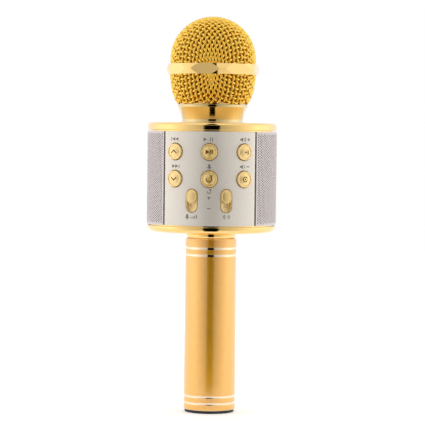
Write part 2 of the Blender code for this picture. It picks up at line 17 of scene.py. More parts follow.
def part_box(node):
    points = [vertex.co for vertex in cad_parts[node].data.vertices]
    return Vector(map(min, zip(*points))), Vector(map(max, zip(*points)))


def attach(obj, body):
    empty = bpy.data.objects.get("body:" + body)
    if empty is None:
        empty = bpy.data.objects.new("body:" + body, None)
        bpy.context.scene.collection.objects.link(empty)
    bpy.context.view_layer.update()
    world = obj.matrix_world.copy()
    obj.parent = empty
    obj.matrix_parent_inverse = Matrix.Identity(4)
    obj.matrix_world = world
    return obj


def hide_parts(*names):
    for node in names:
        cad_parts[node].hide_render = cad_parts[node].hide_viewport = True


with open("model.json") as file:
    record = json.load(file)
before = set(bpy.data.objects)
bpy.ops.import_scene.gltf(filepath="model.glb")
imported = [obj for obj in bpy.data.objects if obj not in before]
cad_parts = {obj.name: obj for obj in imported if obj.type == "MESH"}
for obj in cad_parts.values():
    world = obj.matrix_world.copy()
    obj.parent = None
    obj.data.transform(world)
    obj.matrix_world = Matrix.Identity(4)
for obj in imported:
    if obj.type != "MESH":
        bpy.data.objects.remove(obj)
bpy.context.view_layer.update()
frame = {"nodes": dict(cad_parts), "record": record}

MM = 0.001


# ---------------------------------------------------------------- places read from the frame

def low(node):
    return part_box(node)[0]


def high(node):
    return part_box(node)[1]


def middle(node):
    return (low(node) + high(node)) / 2


def reach(node):
    """Radius of a round node about the microphone's axis."""
    return high(node).x


GAP = 0.3 * MM                  # air between pieces that meet
DRUM_R = reach("top_cap")
CAP_PLATE = 2.4 * MM            # thickness of the caps' flat plates
LIP_INNER_R = 36.4 * MM         # lips of the caps that centre the sleeve
LIP_OUTER_R = 37.8 * MM
SLEEVE_WALL = 0.9 * MM
PANEL_WALL = 1.8 * MM
SEAM_HALF_ANGLE = 44.2          # azimuth of the seams between panel and sleeve
SEAM_GAP_ANGLE = 0.7            # half the width of each seam
SHADOW_LINE = 0.3 * MM          # extra air between the drum's skin and its caps
SIDE_BUTTON_ANGLE = 31.5
SLIDER_ANGLE = 15.2
SLIDER_TRAVEL = 5.2 * MM
BUTTON_R = 4.85 * MM
WIRE_R = 0.78 * MM
WIRE_PITCH = 2.95 * MM          # distance between neighbouring crossings of the weave
WIRE_SIDES = 8
NET_COUNT = 24                  # crossings along each wire from the weave's pole
WIRE_TUCK = 0.9 * MM            # how far the wires reach into the ring round the ball
PROFILE_STEP = 0.2 * MM         # spacing of the points along a weave's profile


# ---------------------------------------------------------------- materials

GOLD = (0.98, 0.61, 0.115)
DEEP_GOLD = (0.92, 0.58, 0.085)
PALE_GOLD = (1.0, 0.69, 0.18)
# The neck's gold is the plating's gold darkened: painted shade, since the neck has the same plating as the
# caps.
NECK_SHADED_GOLD = (0.70, 0.49, 0.13)
ANODISED_GOLD = (0.95, 0.465, 0.022)
BARE_EDGE = (0.96, 0.80, 0.58)
PANEL_SILVER = (0.85, 0.78, 0.685)
SLEEVE_GREY = (0.70, 0.63, 0.615)
INK = (0.20, 0.18, 0.155)


class Finish:
    """A node material that starts from one Principled shader and object coordinates."""

    def __init__(self, name, metallic=0.0, **constants):
        self.material = bpy.data.materials.new(name)
        self.material.use_nodes = True
        self.tree = self.material.node_tree
        self.shader = self.tree.nodes["Principled BSDF"]
        self.shader.inputs["Metallic"].default_value = metallic
        for socket, value in constants.items():
            self.shader.inputs[socket.replace("_", " ")].default_value = value
        self.place = self.node("ShaderNodeTexCoord").outputs["Object"]
        self.relief = None

    def node(self, kind, **settings):
        made = self.tree.nodes.new(kind)
        for key, value in settings.items():
            if key in made.inputs:
                made.inputs[key].default_value = value
            else:
                setattr(made, key, value)
        return made

    def link(self, source, target):
        self.tree.links.new(source, target)

    def stretched(self, scale):
        mapping = self.node("ShaderNodeMapping")
        mapping.inputs["Scale"].default_value = scale
        self.link(self.place, mapping.inputs["Vector"])
        return mapping.outputs["Vector"]

    def noise(self, scale, detail=4.0, stretch=None):
        made = self.node("ShaderNodeTexNoise", Scale=scale, Detail=detail)
        self.link(self.stretched(stretch) if stretch else self.place, made.inputs["Vector"])
        return made.outputs["Fac"]

    def cells(self, scale):
        made = self.node("ShaderNodeTexVoronoi", Scale=scale)
        self.link(self.place, made.inputs["Vector"])
        return made.outputs["Distance"]

    def span(self, source, from_low, from_high, to_low, to_high):
        made = self.node("ShaderNodeMapRange")
        names = ("From Min", "From Max", "To Min", "To Max")
        for name, value in zip(names, (from_low, from_high, to_low, to_high)):
            made.inputs[name].default_value = value
        self.link(source, made.inputs["Value"])
        return made.outputs["Result"]

    def colour(self, source, dark, bright, from_low=0.3, from_high=0.7):
        ramp = self.node("ShaderNodeValToRGB")
        stops = ((from_low, dark), (from_high, bright))
        for element, (position, colour) in zip(ramp.color_ramp.elements, stops):
            element.position = position
            element.color = (*colour, 1.0)
        self.link(source, ramp.inputs["Fac"])
        self.link(ramp.outputs["Color"], self.shader.inputs["Base Color"])

    def roughness(self, source, smooth, rough):
        self.link(self.span(source, 0.3, 0.7, smooth, rough), self.shader.inputs["Roughness"])

    def bump(self, source, depth, strength=1.0):
        """Relief of a depth in metres; several calls stack."""
        made = self.node("ShaderNodeBump", Strength=strength, Distance=depth)
        self.link(source, made.inputs["Height"])
        if self.relief is not None:
            self.link(self.relief, made.inputs["Normal"])
        self.relief = made.outputs["Normal"]
        self.link(self.relief, self.shader.inputs["Normal"])


def shade(colour, factor):
    return tuple(channel * factor for channel in colour)


def grained(name, colours, cloud, tooth, rough, reliefs=(), **constants):
    """Material whose colour, roughness and reliefs each follow a noise of (scale, detail[, stretch])."""
    finish = Finish(name, **constants)
    finish.colour(finish.noise(*cloud), *colours)
    finish.roughness(finish.noise(*tooth), *rough)
    for noise, depth, strength in reliefs:
        finish.bump(finish.noise(*noise), depth, strength)
    return finish.material


def plated_gold(name="plated_gold", colour=GOLD):
    """Chromed plastic: near-mirror, with a faint orange-peel swell and smudges."""
    return grained(
        name, (shade(colour, 0.95), colour), (60.0, 3.0), (140.0, 6.0), (0.06, 0.11),
        [((90.0, 1.0), 0.00004, 0.35)], metallic=1.0, Coat_Weight=1.0, Coat_Roughness=0.03, Coat_IOR=2.25)


def brushed_gold():
    """Key faces: the same plating over a finely brushed surface, so that it reflects softly."""
    return grained(
        "brushed_gold", (shade(PALE_GOLD, 0.92), PALE_GOLD), (300.0, 4.0), (700.0, 5.0), (0.48, 0.56),
        [((1000.0, 3.0), 0.00008, 0.6)], metallic=1.0, Coat_Weight=1.0, Coat_Roughness=0.24, Coat_IOR=2.5)


def shaded_engraving():
    """Floor of the engraved symbols: rough, and darker in colour as painted shade in the recess."""
    return grained(
        # These dark golds are painted shade for the recess of each symbol.
        "shaded_engraving", ((0.30, 0.16, 0.03), (0.50, 0.28, 0.06)), (500.0, 5.0), (900.0, 4.0), (0.40, 0.60),
        [((2500.0, 4.0), 0.00002, 0.4)], metallic=1.0)


def polished_cut():
    """Diamond-cut edge: brighter and smoother than the anodised metal round it."""
    return grained(
        "polished_cut", (shade(BARE_EDGE, 0.95), BARE_EDGE), (80.0,), (400.0,), (0.05, 0.09),
        [((300.0, 2.0, (1.0, 1.0, 12.0)), 0.00001, 0.3)], metallic=1.0)


def satin_gold():
    """Bead-blasted and anodised aluminium with a fine tooth and faint turning lines."""
    return grained(
        "satin_gold", (shade(ANODISED_GOLD, 0.94), ANODISED_GOLD), (220.0, 6.0), (900.0, 4.0), (0.42, 0.48),
        [((2600.0, 3.0), 0.00002, 0.25), ((200.0, 2.0, (1.0, 1.0, 40.0)), 0.00001, 0.12)],
        metallic=1.0, Coat_Weight=1.0, Coat_Roughness=0.16, Coat_IOR=2.25)


def wire_gold():
    """Plated wire: bright crowns, with the plating deeper in colour in places."""
    return grained(
        "wire_gold", (DEEP_GOLD, (1.0, 0.69, 0.125)), (350.0, 4.0), (700.0, 5.0), (0.20, 0.30),
        [((1500.0, 3.0), 0.00003, 0.25)], metallic=1.0)


def panel_paint():
    """Metallic paint on moulded plastic: fine flakes under a satin coat."""
    finish = Finish("panel_paint", metallic=0.45, Coat_Weight=0.25, Coat_Roughness=0.25)
    flakes = finish.cells(3800.0)
    finish.colour(flakes, shade(PANEL_SILVER, 1.06), shade(PANEL_SILVER, 0.90), 0.1, 0.8)
    finish.roughness(finish.noise(500.0, 5.0), 0.36, 0.46)
    finish.bump(finish.noise(1800.0, 4.0), 0.00002, 0.25)
    return finish.material


def sleeve_metal():
    """Punched sheet: pale painted steel with a fine grain."""
    return grained(
        "sleeve_metal", (shade(SLEEVE_GREY, 0.92), shade(SLEEVE_GREY, 1.05)), (700.0, 5.0), (300.0, 4.0),
        (0.38, 0.50), [((2200.0, 3.0), 0.00002, 0.25)], metallic=0.35)


def moulded(name, colour, smooth=0.42, rough=0.58, depth=0.00003):
    """Moulded plastic with a spark-eroded grain."""
    return grained(name, (shade(colour, 0.82), shade(colour, 1.12)), (160.0, 5.0), (320.0, 4.0),
                   (smooth, rough), [((1600.0, 4.0), depth, 0.4)])


def bare_metal(name, colour, smooth=0.18, rough=0.34):
    return grained(name, (shade(colour, 0.82), colour), (240.0, 5.0), (420.0, 4.0), (smooth, rough),
                   [((900.0, 3.0), 0.00002, 0.3)], metallic=1.0)


def open_cell_foam():
    finish = Finish("open_cell_foam", Sheen_Weight=0.25)
    pores = finish.cells(1500.0)
    # The foam's colour is painted much brighter than the foam: painted light standing in for the light that
    # reaches it through the weave's holes.
    finish.colour(pores, (0.90, 0.60, 0.07), (1.0, 0.82, 0.18), 0.15, 0.6)
    finish.roughness(finish.noise(800.0), 0.85, 1.0)
    finish.bump(pores, 0.0004, 0.8)
    return finish.material


def circuit_board():
    finish = Finish("circuit_board", Coat_Weight=0.4, Coat_Roughness=0.15)
    tracks = finish.node("ShaderNodeTexBrick", Scale=420.0, Color1=(0.010, 0.120, 0.050, 1.0),
                         Color2=(0.012, 0.145, 0.060, 1.0), Mortar=(0.035, 0.230, 0.090, 1.0))
    finish.link(finish.place, tracks.inputs["Vector"])
    finish.link(tracks.outputs["Color"], finish.shader.inputs["Base Color"])
    finish.roughness(finish.noise(200.0), 0.25, 0.40)
    finish.bump(tracks.outputs["Fac"], 0.00004, 0.4)
    return finish.material


def printed_ink():
    return grained("printed_ink", (shade(INK, 0.8), shade(INK, 1.3)), (900.0, 4.0), (600.0,), (0.45, 0.60),
                   [((2500.0,), 0.00001, 0.3)])


MATERIALS = {
    "plated_gold": plated_gold(),
    # Darker copy of the plated gold: painted shade on the neck.
    "neck_painted_shade_plating": plated_gold("neck_painted_shade_plating", NECK_SHADED_GOLD),
    "brushed_gold": brushed_gold(),
    "shaded_engraving": shaded_engraving(),
    "polished_cut": polished_cut(),
    "satin_gold": satin_gold(),
    "wire_gold": wire_gold(),
    "panel_paint": panel_paint(),
    "sleeve_metal": sleeve_metal(),
    "foot_plastic": moulded("foot_plastic", (0.022, 0.020, 0.018)),
    "black_plastic": moulded("black_plastic", (0.030, 0.030, 0.031)),
    "grey_plastic": moulded("grey_plastic", (0.20, 0.20, 0.21)),
    "paper_cone": moulded("paper_cone", (0.040, 0.038, 0.036), 0.75, 0.95, 0.0001),
    "magnet": bare_metal("magnet", (0.24, 0.24, 0.25), 0.35, 0.55),
    "steel": bare_metal("steel", (0.62, 0.61, 0.60)),
    "brass": bare_metal("brass", (0.86, 0.62, 0.28)),
    "battery_wrap": moulded("battery_wrap", (0.03, 0.16, 0.40), 0.20, 0.32, 0.00001),
    "red_wire": moulded("red_wire", (0.50, 0.02, 0.02), 0.35, 0.50),
    "black_wire": moulded("black_wire", (0.02, 0.02, 0.02), 0.35, 0.50),
    "foam": open_cell_foam(),
    "circuit_board": circuit_board(),
    "ink": printed_ink(),
}


# ---------------------------------------------------------------- mesh tools

def outward(azimuth):
    angle = math.radians(azimuth)
    return Vector((math.sin(angle), -math.cos(angle), 0.0))


def on_drum(azimuth, height):
    """Placement on the drum's surface: local X sideways, local Y up, local Z outward."""
    angle = math.radians(azimuth)
    place = Matrix.Identity(4)
    place.col[0].xyz = (math.cos(angle), math.sin(angle), 0.0)
    place.col[1].xyz = (0.0, 0.0, 1.0)
    place.col[2].xyz = outward(azimuth)
    place.translation = outward(azimuth) * DRUM_R + Vector((0.0, 0.0, height))
    return place


def add_piece(name, mesh, materials, place=None, sharp=40.0):
    """A smooth-shaded object with its materials, still riding on nothing."""
    mesh.name = name
    mesh.shade_smooth()
    mesh.set_sharp_from_angle(angle=math.radians(sharp))
    for key in materials:
        mesh.materials.append(MATERIALS[key])
    piece = bpy.data.objects.new(name, mesh)
    bpy.context.scene.collection.objects.link(piece)
    if place is not None:
        piece.matrix_world = place
    return piece


def mount_piece(piece, body, material_slot, *replaced):
    """Ride a finished piece on its body, in place of the CAD nodes that it stands for."""
    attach(piece, body)
    if replaced:
        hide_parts(*replaced)


def mesh_from(vertices, faces, face_materials=None):
    """Mesh with its faces turned outward."""
    mesh = bpy.data.meshes.new("shape")
    mesh.from_pydata([tuple(vertex) for vertex in vertices], [], [tuple(face) for face in faces])
    if face_materials is not None:
        mesh.polygons.foreach_set("material_index", face_materials)
    bm = bmesh.new()
    bm.from_mesh(mesh)
    bmesh.ops.recalc_face_normals(bm, faces=bm.faces)
    bm.to_mesh(mesh)
    bm.free()
    return mesh


def rounded(points, steps=4, closed=True):
    """Outline with each corner (x, y[, fillet radius[, material]]) rounded; gives (x, y, material)."""
    corners = [(*point, *(0.0, 0)[len(point) - 2:]) for point in points]
    places = [Vector((x, y, 0.0)) for x, y, _, _ in corners]
    result = []
    for index, (x, y, radius, finish) in enumerate(corners):
        at_end = not closed and index in (0, len(corners) - 1)
        if radius <= 0.0 or at_end:
            result.append((x, y, finish))
            continue
        corner = places[index]
        to_last = (places[index - 1] - corner).normalized()
        to_next = (places[(index + 1) % len(places)] - corner).normalized()
        angle = to_last.angle(to_next)
        centre = corner + (to_last + to_next).normalized() * radius / math.sin(angle / 2)
        start = corner + to_last * radius / math.tan(angle / 2) - centre
        end = corner + to_next * radius / math.tan(angle / 2) - centre
        for step in range(steps + 1):
            point = centre + start.slerp(end, step / steps).normalized() * radius
            result.append((point.x, point.y, finish))
    return result


def curve_points(start, control, end, steps):
    """Points of a quadratic curve, without its first one."""
    ratios = [step / steps for step in range(1, steps + 1)]
    return [tuple((1 - t) ** 2 * a + 2 * t * (1 - t) * b + t ** 2 * c for a, b, c in zip(start, control, end))
            for t in ratios]


def turned(outline, sides=192, start=0.0, sweep=360.0):
    """Mesh turned about Z from a closed outline of (radius, height, material)."""
    full = sweep >= 360.0
    columns = sides if full else sides + 1
    angles = np.radians(start + sweep * np.arange(columns) / sides)
    vertices, rings = [], []
    for radius, height, _ in outline:
        if radius < 1e-7:
            rings.append([len(vertices)] * columns)
            vertices.append((0.0, 0.0, height))
            continue
        rings.append(list(range(len(vertices), len(vertices) + columns)))
        vertices += [(radius * math.sin(a), -radius * math.cos(a), height) for a in angles]
    faces, finishes = [], []
    for index, ring in enumerate(rings):
        following = rings[(index + 1) % len(rings)]
        for column in range(sides):
            beside = (column + 1) % columns
            corners = dict.fromkeys((ring[column], ring[beside], following[beside], following[column]))
            if len(corners) > 2:
                faces.append(tuple(corners))
                finishes.append(outline[index][2])
    if not full:
        for column in (0, -1):
            faces.append(tuple(ring[column] for ring in rings))
            finishes.append(0)
    return mesh_from(vertices, faces, finishes)


def circle(radius, count=48):
    angles = [math.tau * number / count for number in range(count)]
    return [(radius * math.cos(angle), radius * math.sin(angle)) for angle in angles]


def stadium(half_width, half_height, count=48):
    """Slot outline with round ends, its long side along Y."""
    points = []
    half = count // 2
    for side in (1, -1):
        for step in range(half):
            angle = math.pi * step / (half - 1)
            y = half_width * math.sin(angle) + half_height - half_width
            points.append((side * half_width * math.cos(angle), side * y))
    return points


def rectangle(half_width, half_height, corner):
    """Outline of a rectangle with round corners."""
    signs = ((-1, -1), (1, -1), (1, 1), (-1, 1))
    points = rounded([(x * half_width, y * half_height, corner) for x, y in signs])
    return [(x, y) for x, y, _ in points]


def loft(sections, closed=False):
    """Mesh skinned over a stack of (outline, height) sections of equal length."""
    count = len(sections[0][0])
    vertices = [(x, y, height) for outline, height in sections for x, y in outline]
    faces = []
    for index in range(len(sections) if closed else len(sections) - 1):
        here = index * count
        above = (index + 1) % len(sections) * count
        for step in range(count):
            beside = (step + 1) % count
            faces.append((here + step, here + beside, above + beside, above + step))
    if not closed:
        faces.append(tuple(range(count)))
        faces.append(tuple(range((len(sections) - 1) * count, len(sections) * count)))
    return mesh_from(vertices, faces)


def prism(shape, bottom, top):
    return loft([(shape, bottom), (shape, top)])


def scaled(shape, factor):
    return [(x * factor, y * factor) for x, y in shape]


def joined(meshes, finish=0):
    """One mesh that holds several, with all its faces in its piece's material of that number."""
    bm = bmesh.new()
    for mesh in meshes:
        bm.from_mesh(mesh)
    for face in bm.faces:
        face.material_index = finish
    whole = bpy.data.meshes.new("shape")
    bm.to_mesh(whole)
    bm.free()
    return whole


def carve(piece, meshes, place=None, operation="DIFFERENCE", cut_finish=0, sharp=32.0):
    """Cut a piece with meshes; the cut's own faces take the piece's material of that number."""
    cutter = bpy.data.objects.new("cutter", joined(meshes, cut_finish))
    bpy.context.scene.collection.objects.link(cutter)
    if place is not None:
        cutter.matrix_world = place
    modifier = piece.modifiers.new("carve", "BOOLEAN")
    modifier.operation = operation
    modifier.solver = "EXACT"
    modifier.use_self = len(meshes) > 1
    modifier.object = cutter
    bpy.context.view_layer.update()
    depsgraph = bpy.context.evaluated_depsgraph_get()
    carved = bpy.data.meshes.new_from_object(piece.evaluated_get(depsgraph))
    piece.modifiers.clear()
    piece.data = carved
    bpy.data.objects.remove(cutter)
    carved.shade_smooth()
    carved.set_sharp_from_angle(angle=math.radians(sharp))


# ---------------------------------------------------------------- handle

def make_foot():
    """Moulded cup pressed into the handle, with the thin edge that the microphone stands on."""
    top = low("handle_tube").z - GAP
    radius = reach("end_cap")
    cup_r, bore_r = 13.5 * MM, 11.6 * MM
    cup_top, floor_top = 8.0 * MM, 2.4 * MM
    outline = rounded([
        (0.0, 0.0), (radius, 0.0, 0.45 * MM), (radius, top, 0.15 * MM), (cup_r, top),
        (cup_r, cup_top), (bore_r, cup_top), (bore_r, floor_top), (0.0, floor_top),
    ])
    mount_piece(add_piece("foot", turned(outline), ["foot_plastic"]), "housing", "black_plastic", "end_cap")


def make_handle():
    """Satin tube with a pair of shallow polished grooves near each end and a bevel at the foot."""
    bottom, top = low("handle_tube").z, high("handle_tube").z
    bottom_r = reach("handle_tube")
    top_r = bottom_r - 0.2 * MM
    bore = 14.0 * MM
    foot_bevel, top_bevel = 0.7 * MM, 0.35 * MM
    groove_half, groove_depth, groove_side = 0.75 * MM, 0.16 * MM, 0.12 * MM
    groove_heights = (6.0 * MM, 10.2 * MM, 97.5 * MM, 101.8 * MM)

    def skin(height):
        return bottom_r + (top_r - bottom_r) * (height - bottom) / (top - bottom)

    outline = [(bore, bottom), (bottom_r - foot_bevel, bottom, 0.1 * MM, 1)]
    outline += [(bottom_r, bottom + foot_bevel, 0.2 * MM)]
    for height in groove_heights:
        lower, upper = height - groove_half, height + groove_half
        outline += [
            (skin(lower), lower, 0.0, 1), (skin(lower) - groove_depth, lower + groove_side, 0.04 * MM, 1),
            (skin(upper) - groove_depth, upper - groove_side, 0.04 * MM, 1), (skin(upper), upper),
        ]
    outline += [(top_r, top - top_bevel, 0.1 * MM, 1), (top_r - top_bevel, top, 0.1 * MM), (bore, top)]
    piece = add_piece("handle", turned(rounded(outline, 2), 224), ["satin_gold", "polished_cut"], sharp=30.0)
    mount_piece(piece, "housing", "satin_gold", "handle_tube")


def make_handle_collar():
    """Crowned ring between drum and handle, with a spigot into each."""
    bottom, top = high("handle_tube").z + GAP, low("bottom_cap").z - GAP
    edge_r, crown_r, bevel = 15.1 * MM, 16.1 * MM, 0.3 * MM
    bore, lower_spigot_r, upper_spigot_r = 10.5 * MM, 13.6 * MM, 12.2 * MM
    spigot_bottom, spigot_top = low("handle_collar").z, high("handle_collar").z
    outline = [(bore, spigot_bottom), (lower_spigot_r, spigot_bottom), (lower_spigot_r, bottom)]
    outline += [(edge_r - 0.2 * MM, bottom), (edge_r, bottom + bevel)]
    crown = (crown_r, (bottom + top) / 2)
    outline += curve_points((edge_r, bottom + bevel), crown, (edge_r, top - bevel), 10)
    outline += [(edge_r - 0.2 * MM, top), (upper_spigot_r, top), (upper_spigot_r, spigot_top)]
    outline += [(bore, spigot_top)]
    piece = add_piece("collar_below_drum", turned(rounded(outline)), ["plated_gold"])
    mount_piece(piece, "housing", "gold_chrome", "handle_collar")


# ---------------------------------------------------------------- drum shell

def around(node, shape):
    """An outline moved to stand round the middle of a node, seen from above."""
    centre = middle(node)
    return [(centre.x + x, centre.y + y) for x, y in shape]


def make_top_cap():
    bottom, top = low("top_cap").z, high("top_cap").z
    rim, plate = bottom + 2.4 * MM, top - CAP_PLATE
    hole_r = 10.3 * MM
    outline = rounded([
        (hole_r, plate), (LIP_INNER_R, plate, 0.5 * MM), (LIP_INNER_R, bottom), (LIP_OUTER_R, bottom),
        (LIP_OUTER_R, rim), (DRUM_R, rim, 0.5 * MM), (DRUM_R, top, 1.9 * MM), (hole_r, top),
    ], 8)
    piece = add_piece("drum_top", turned(outline, 256), ["plated_gold"])
    mount_piece(piece, "housing", "gold_chrome", "top_cap")


def make_bottom_cap():
    """Cap with openings for the ports and the power switch, and four stepped screw holes."""
    bottom, top = low("bottom_cap").z, high("bottom_cap").z
    rim, plate = low("speaker_sleeve").z - GAP, bottom + CAP_PLATE
    hole_r = 12.5 * MM
    outline = rounded([
        (hole_r, bottom, 0.1 * MM), (DRUM_R, bottom, 2.9 * MM), (DRUM_R, rim, 0.5 * MM), (LIP_OUTER_R, rim),
        (LIP_OUTER_R, top), (LIP_INNER_R, top), (LIP_INNER_R, plate, 0.5 * MM), (hole_r, plate),
    ], 8)
    piece = add_piece("drum_bottom", turned(outline, 224), ["plated_gold"])
    below, above = bottom - 1.0 * MM, plate + 1.0 * MM
    openings = (
        around("charge_port", rectangle(4.9 * MM, 2.2 * MM, 0.5 * MM)),
        around("power_switch", rectangle(4.0 * MM, 1.8 * MM, 0.5 * MM)),
        around("audio_jack", circle(3.6 * MM, 32)),
    )
    cutters = [prism(opening, below, above) for opening in openings]
    head_r, shank_r, seat = 2.7 * MM, 1.6 * MM, bottom + 1.4 * MM
    for number in range(1, 5):
        wide, narrow = (around(f"cap_screw_{number}", circle(radius, 24)) for radius in (head_r, shank_r))
        cutters.append(loft([(wide, below), (wide, seat), (narrow, seat), (narrow, above)]))
    carve(piece, cutters)
    mount_piece(piece, "housing", "gold_chrome", "bottom_cap")


def make_sleeve():
    """Punched sheet: staggered holes between plain margins, as a closed shell with real hole walls."""
    first = SEAM_HALF_ANGLE + SEAM_GAP_ANGLE
    last = 360.0 - first
    bottom, top = low("speaker_sleeve").z + SHADOW_LINE, high("speaker_sleeve").z - SHADOW_LINE
    margin = 1.0 * MM
    pitch = 1.5 * MM
    hole_r = 0.50 * MM
    arc_length = math.radians(last - first) * DRUM_R
    columns = int((arc_length - 2 * margin) / (pitch * math.cos(math.pi / 6)))
    step = (arc_length - 2 * margin) / columns
    rows = int((top - bottom - 2 * margin) / pitch)
    rise = (top - bottom - 2 * margin) / rows

    vertices, faces, index = [], [], {}

    def vertex(along, height, inner):
        """Vertex at a distance along the sheet, shared by every cell that asks for it."""
        key = (round(along * 2e6), round(height * 2e6), inner)
        if key not in index:
            index[key] = len(vertices)
            radius = DRUM_R - (SLEEVE_WALL if inner else 0.0)
            point = outward(first + math.degrees(along / DRUM_R)) * radius
            vertices.append((point.x, point.y, height))
        return index[key]

    def sheet_face(corners):
        faces.append([vertex(x, z, False) for x, z in corners])
        faces.append([vertex(x, z, True) for x, z in reversed(corners)])

    def wall(start, end):
        """Face through the sheet's thickness, between two of its points."""
        faces.append([vertex(*start, False), vertex(*end, False), vertex(*end, True), vertex(*start, True)])

    def hole(centre_x, centre_z):
        """Rectangular cell with a six-sided hole; its corners are shared with the cells beside it."""
        half_x, half_z = step / 2, rise / 2
        rim = [(-half_x, -half_z), (half_x, -half_z), (half_x, 0.0),
               (half_x, half_z), (-half_x, half_z), (-half_x, 0.0)]
        rim = [(centre_x + x, centre_z + z) for x, z in rim]
        turns = [math.radians(-120 + 60 * number) for number in range(6)]
        edge = [(centre_x + hole_r * math.cos(a), centre_z + hole_r * math.sin(a)) for a in turns]
        for number in range(6):
            beside = (number + 1) % 6
            sheet_face([rim[number], rim[beside], edge[beside], edge[number]])
            wall(edge[number], edge[beside])

    def plain(start_x, end_x, start_z, end_z):
        sheet_face([(start_x, start_z), (end_x, start_z), (end_x, end_z), (start_x, end_z)])

    low_z, high_z = bottom + margin, top - margin
    for column in range(columns):
        centre_x = margin + (column + 0.5) * step
        west, east = centre_x - step / 2, centre_x + step / 2
        staggered = column % 2
        for row in range(rows - 1 if staggered else rows):
            hole(centre_x, low_z + (row + 0.5 + 0.5 * staggered) * rise)
        if staggered:
            plain(west, east, low_z, low_z + rise / 2)
            plain(west, east, high_z - rise / 2, high_z)
        for start_z, end_z in ((bottom, low_z), (high_z, top)):
            plain(west, east, start_z, end_z)
        for height in (bottom, top):
            wall((west, height), (east, height))
    levels = [bottom] + [low_z + rise / 2 * number for number in range(2 * rows + 1)] + [top]
    for start_x, end_x in ((0.0, margin), (arc_length - margin, arc_length)):
        for start_z, end_z in zip(levels, levels[1:]):
            plain(start_x, end_x, start_z, end_z)
        for height in (bottom, top):
            wall((start_x, height), (end_x, height))
    for edge_x in (0.0, arc_length):
        for start_z, end_z in zip(levels, levels[1:]):
            wall((edge_x, start_z), (edge_x, end_z))
    piece = add_piece("sleeve", mesh_from(vertices, faces), ["sleeve_metal"], sharp=30.0)
    mount_piece(piece, "housing", "perforated_steel", "speaker_sleeve")


# ---------------------------------------------------------------- panel and controls

def button_places():
    """Name, azimuth and height of each button, with the height read from its node."""
    columns = (("left", -SIDE_BUTTON_ANGLE), ("centre", 0.0), ("right", SIDE_BUTTON_ANGLE))
    return [(f"{column}_{row}", azimuth, middle(f"button_{column}_{row}").z)
            for row in ("top", "bottom") for column, azimuth in columns]


def slider_places():
    return [(side, azimuth, middle("slider_tray_" + side).z)
            for side, azimuth in (("left", -SLIDER_ANGLE), ("right", SLIDER_ANGLE))]


def make_panel():
    """Curved panel whose long edges drop a little, with flared holes for the keys and slots for the trays."""
    half = SEAM_HALF_ANGLE - SEAM_GAP_ANGLE
    bottom, top = low("control_panel").z + SHADOW_LINE, high("control_panel").z - SHADOW_LINE
    inner = DRUM_R - PANEL_WALL
    edge = 0.35 * MM
    outline = rounded([(inner, bottom), (DRUM_R, bottom, edge), (DRUM_R, top, edge), (inner, top)], 3)
    piece = add_piece("panel", turned(outline, 116, -half, 2 * half), ["panel_paint"], sharp=30.0)
    shoulder_angle = 2.4
    for vertex in piece.data.vertices:
        azimuth = math.degrees(math.atan2(vertex.co.x, -vertex.co.y))
        drop = max(0.0, abs(azimuth) - (half - shoulder_angle)) / shoulder_angle
        if vertex.co.xy.length > inner + 0.5 * PANEL_WALL:
            vertex.co -= outward(azimuth) * (edge * drop ** 2)
    back, front = -4.0 * MM, 2.0 * MM
    flare, hole_flare_depth = 0.22 * MM, 0.52 * MM
    slot_half_width, slot_half_height = 3.7 * MM, 7.2 * MM
    hole, wide_hole = (circle(BUTTON_R + GAP + extra) for extra in (0.0, 2 * flare))
    holes = [(hole, back), (hole, -hole_flare_depth), (wide_hole, flare), (wide_hole, front)]
    slot, wide_slot = (stadium(slot_half_width + extra, slot_half_height + extra) for extra in (0.0, flare))
    slots = [(slot, back), (slot, -flare), (wide_slot, flare / 2), (wide_slot, front)]
    cutters = []
    for stack, places in ((holes, button_places()), (slots, slider_places())):
        for _, azimuth, height in places:
            cutters.append(loft(stack))
            cutters[-1].transform(on_drum(azimuth, height))
    carve(piece, cutters)
    mount_piece(piece, "housing", "satin_silver", "control_panel")


def bar(start, end, half_width):
    """Four corners of a straight stroke."""
    start, end = Vector(start), Vector(end)
    side = (end - start).orthogonal().normalized() * half_width
    return [tuple(start - side), tuple(end - side), tuple(end + side), tuple(start + side)]


def arc_band(radius, half_width, first, last, steps=14):
    """Outline of an arc-shaped stroke between two angles in degrees."""
    angles = [math.radians(first + (last - first) * step / steps) for step in range(steps + 1)]
    outer, inner = (
        [(edge * math.cos(angle), edge * math.sin(angle)) for angle in angles]
        for edge in (radius + half_width, radius - half_width)
    )
    return outer + inner[::-1]


def button_symbols():
    """Engraved shapes for each button in millimetres: plain arrows, play and pause, a return arrow."""
    up = [[(-2.1, -0.7), (0.0, 1.3), (2.1, -0.7), (1.65, -1.15), (0.0, 0.4), (-1.65, -1.15)]]
    down = [scaled(shape, -1.0) for shape in up]
    play = [[(-2.3, -1.5), (0.1, 0.0), (-2.3, 1.5)], bar((1.0, -1.4), (1.0, 1.4), 0.30),
            bar((2.1, -1.4), (2.1, 1.4), 0.30)]
    back = [arc_band(1.7, 0.32, -200.0, 60.0), [(0.2, 2.5), (1.6, 0.7), (2.3, 2.4)]]
    wave = [arc_band(1.0, 0.28, -50.0, 50.0), arc_band(2.1, 0.28, -50.0, 50.0), circle(0.45, 14)]
    dot = [arc_band(1.5, 0.28, 20.0, 340.0), circle(0.5, 14)]
    return {
        "left_top": up, "left_bottom": down, "centre_top": play, "centre_bottom": back,
        "right_top": wave, "right_bottom": dot,
    }


